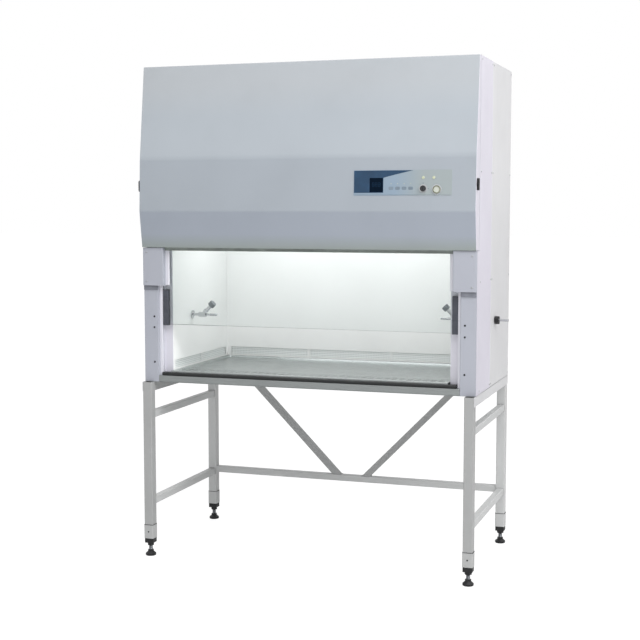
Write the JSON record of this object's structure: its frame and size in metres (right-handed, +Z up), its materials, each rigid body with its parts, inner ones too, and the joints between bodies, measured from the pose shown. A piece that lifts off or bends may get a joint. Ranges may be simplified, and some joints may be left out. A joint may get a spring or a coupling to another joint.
{
  "type": "biosafety cabinet",
  "caption": "Floor-standing microbiological safety cabinet: hinged sloping fascia with control panel, sliding glass sash, steel work tray, open square-tube stand with levelling feet.",
  "frame": {"origin": "on the floor, at the centre of the footprint", "axes": "+Z up, +X to the right seen from the front, front faces -Y"},
  "size_m": [1.58, 0.7566, 2.12],
  "materials": {
    "stand_paint": "satin light grey powder coat",
    "cover_paint": "satin light grey powder coat",
    "fascia_paint": "satin blue-grey paint",
    "post_paint": "satin blue-grey paint",
    "liner_paint": "satin white powder coat",
    "stainless": "brushed stainless steel",
    "galvanised": "zinc-coated sheet",
    "collar_paint": "satin grey paint",
    "black_plastic": "moulded black plastic",
    "black_strip": "soft black profile",
    "glass": "tempered safety glass, faint green",
    "grip_plastic": "moulded dark grey plastic",
    "aluminium": "clear anodised profile",
    "steel": "dull steel",
    "motor_paint": "dark grey paint",
    "filter_media": "pleated glass-fibre media in a frame",
    "panel_film": "printed polyester overlay",
    "display": "dark blue display window",
    "lamp_lens": "yellow-green lens",
    "key_black": "black switch knob",
    "button_ring": "pale yellow button",
    "lamp_glass": "white fluorescent tube",
    "chrome": "chromed brass",
    "tap_plastic": "moulded grey lever"
  },
  "bodies": {
    "cabinet": {"front_legs": "stand_paint", "rear_legs": "stand_paint", "top_rails": "stand_paint", "side_stretchers": "stand_paint", "rear_lower_rail": "stand_paint", "cross_braces": "stand_paint", "leg_plugs": "black_plastic", "leg_collars": "collar_paint", "base_pan": "stainless", "frame_uprights": "galvanised", "front_side_covers": "cover_paint", "rear_side_covers": "cover_paint", "back_panel": "cover_paint", "top_panel": "cover_paint", "upper_post_covers": "post_paint", "lower_post_covers": "post_paint", "sash_guides": "aluminium", "front_rail": "stainless", "armrest_strip": "black_strip", "chamber_side_right": "liner_paint", "chamber_side_left": "liner_paint", "chamber_back": "liner_paint", "tray_ledges": "stainless", "front_grille": "stainless", "diffuser_screen": "galvanised", "supply_filter": "filter_media", "filter_deck": "galvanised", "blower_housing": "galvanised", "blower_motor": "motor_paint", "exhaust_filter": "filter_media", "exhaust_grille": "cover_paint", "hinge_body_leaves": "steel", "lamp_tube": "lamp_glass", "lamp_holders": "black_plastic", "service_taps": "chrome", "nozzle_nuts": "black_plastic", "mains_inlet": "black_plastic"},
    "foot_front_left": {"foot_front_left": "black_plastic"},
    "foot_front_right": {"foot_front_right": "black_plastic"},
    "foot_rear_left": {"foot_rear_left": "black_plastic"},
    "foot_rear_right": {"foot_rear_right": "black_plastic"},
    "sash": {"sash_glass": "glass", "sash_grips": "grip_plastic"},
    "counterweight_left": {"counterweight_left": "steel"},
    "counterweight_right": {"counterweight_right": "steel"},
    "pulley_left": {"pulley_left": "black_plastic"},
    "pulley_right": {"pulley_right": "black_plastic"},
    "fascia": {"fascia_cover": "fascia_paint", "control_panel": "panel_film", "display_window": "display", "pilot_lamps": "lamp_lens", "hinge_fascia_leaves": "steel"},
    "key_switch": {"key_switch": "key_black"},
    "start_button": {"start_button": "button_ring"},
    "fascia_catch_right": {"fascia_catch_right": "black_plastic"},
    "fascia_catch_left": {"fascia_catch_left": "black_plastic"},
    "blower_wheel": {"blower_wheel": "galvanised"},
    "work_tray": {"work_tray": "stainless"},
    "tap_handle_right": {"tap_handle_right": "tap_plastic"},
    "tap_handle_left": {"tap_handle_left": "tap_plastic"}
  },
  "joints": [
    {"name": "foot_front_left_turn", "type": "hinge", "parent": "cabinet", "child": "foot_front_left", "pos_m": [-0.7085, -0.34165, 0], "axis": [0, 0, 1], "continuous": true},
    {"name": "foot_front_right_turn", "type": "hinge", "parent": "cabinet", "child": "foot_front_right", "pos_m": [0.7085, -0.34165, 0], "axis": [0, 0, 1], "continuous": true},
    {"name": "foot_rear_left_turn", "type": "hinge", "parent": "cabinet", "child": "foot_rear_left", "pos_m": [-0.7085, 0.35535, 0], "axis": [0, 0, 1], "continuous": true},
    {"name": "foot_rear_right_turn", "type": "hinge", "parent": "cabinet", "child": "foot_rear_right", "pos_m": [0.7085, 0.35535, 0], "axis": [0, 0, 1], "continuous": true},
    {"name": "sash_slide", "type": "slide", "parent": "cabinet", "child": "sash", "axis": [0, 0, 1], "range_m": [-0.19, 0.3]},
    {"name": "counterweight_left_slide", "type": "slide", "parent": "cabinet", "child": "counterweight_left", "axis": [0, 0, 1], "range_m": [-0.305, 0.195]},
    {"name": "counterweight_right_slide", "type": "slide", "parent": "cabinet", "child": "counterweight_right", "axis": [0, 0, 1], "range_m": [-0.305, 0.195]},
    {"name": "pulley_left_turn", "type": "hinge", "parent": "cabinet", "child": "pulley_left", "pos_m": [-0.642, -0.27865, 2.04], "axis": [1, 0, 0], "continuous": true},
    {"name": "pulley_right_turn", "type": "hinge", "parent": "cabinet", "child": "pulley_right", "pos_m": [0.642, -0.27865, 2.04], "axis": [1, 0, 0], "continuous": true},
    {"name": "fascia_hinge", "type": "hinge", "parent": "cabinet", "child": "fascia", "pos_m": [0, -0.29815, 2.117], "axis": [-1, 0, 0], "range_deg": [0, 60]},
    {"name": "key_turn", "type": "hinge", "parent": "fascia", "child": "key_switch", "pos_m": [0.517, -0.36785, 1.597], "axis": [0, -0.9991, 0.0422], "range_deg": [0, 90]},
    {"name": "start_button_press", "type": "slide", "parent": "fascia", "child": "start_button", "axis": [0, 0.9991, -0.0422], "range_m": [0, 0.003], "stiffness_N_per_m": 400},
    {"name": "fascia_catch_right_turn", "type": "hinge", "parent": "fascia", "child": "fascia_catch_right", "pos_m": [0.73, -0.35065, 1.613], "axis": [1, 0, 0], "range_deg": [0, 90]},
    {"name": "fascia_catch_left_turn", "type": "hinge", "parent": "fascia", "child": "fascia_catch_left", "pos_m": [-0.73, -0.35065, 1.613], "axis": [1, 0, 0], "range_deg": [0, 90]},
    {"name": "blower_spin", "type": "hinge", "parent": "cabinet", "child": "blower_wheel", "pos_m": [0, 0.05935, 1.8], "axis": [1, 0, 0], "continuous": true},
    {"name": "tray_lift", "type": "slide", "parent": "cabinet", "child": "work_tray", "axis": [0, 0, 1], "range_m": [0, 0.12]},
    {"name": "tap_handle_right_turn", "type": "hinge", "parent": "cabinet", "child": "tap_handle_right", "pos_m": [0.51833, 0.04635, 1.09167], "axis": [-0.7071, 0, 0.7071], "range_deg": [0, 270]},
    {"name": "tap_handle_left_turn", "type": "hinge", "parent": "cabinet", "child": "tap_handle_left", "pos_m": [-0.51833, -0.08665, 1.09167], "axis": [0.7071, 0, 0.7071], "range_deg": [0, 270]}
  ],
  "couplings": [
    {"joint": "counterweight_left_slide", "follows": "sash_slide", "ratio": -1},
    {"joint": "counterweight_right_slide", "follows": "sash_slide", "ratio": -1},
    {"joint": "pulley_left_turn", "follows": "sash_slide", "rad_per_m": -38.462},
    {"joint": "pulley_right_turn", "follows": "sash_slide", "rad_per_m": -38.462}
  ]
}
